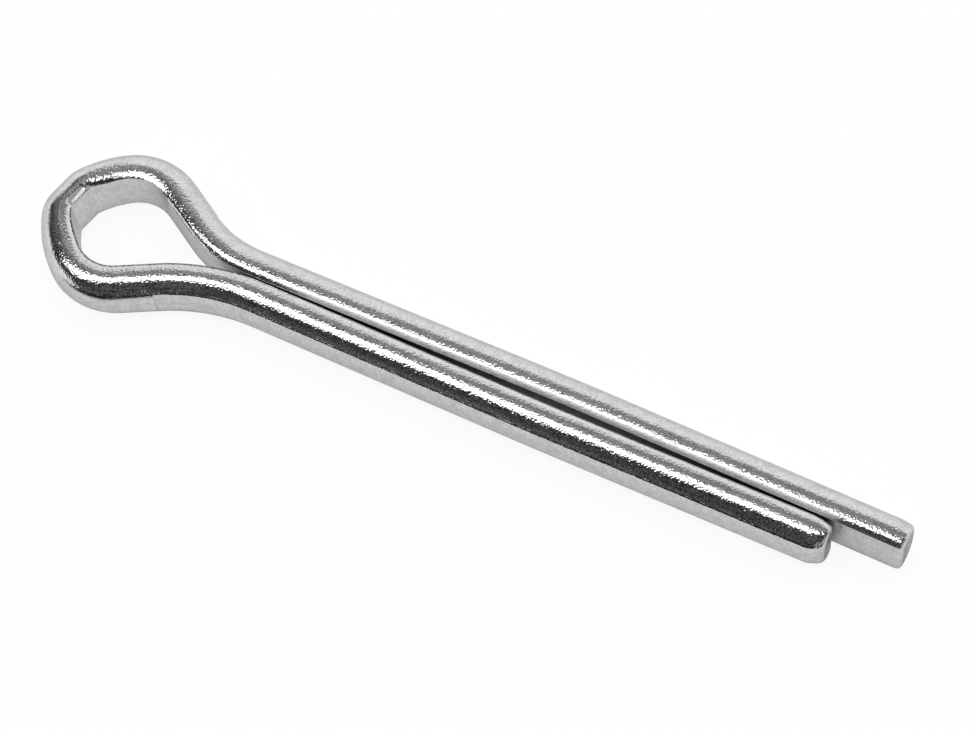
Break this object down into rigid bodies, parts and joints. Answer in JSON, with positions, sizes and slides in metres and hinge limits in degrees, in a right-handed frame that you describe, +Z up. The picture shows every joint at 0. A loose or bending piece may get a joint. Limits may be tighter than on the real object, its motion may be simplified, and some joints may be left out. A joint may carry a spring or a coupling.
{
  "type": "cotter pin",
  "caption": "Split cotter pin bent from half-round wire, with a closed eye and an extended prong; locks castle nuts, clevis pins and shafts through a drilled hole.",
  "frame": {"origin": "on the shank's centre line, where the short leg starts to flare into the eye", "axes": "+X along the shank from the eye to the tips, +Y from the short leg to the long leg, +Z up, the pin's thickness as it lies on its side"},
  "size_m": [0.0723, 0.0134, 0.0044],
  "materials": {
    "zinc": "bright zinc plating over steel, slightly grained where the wire was bent"
  },
  "bodies": {
    "root": {"cotter_pin": "zinc"}
  },
  "joints": []
}
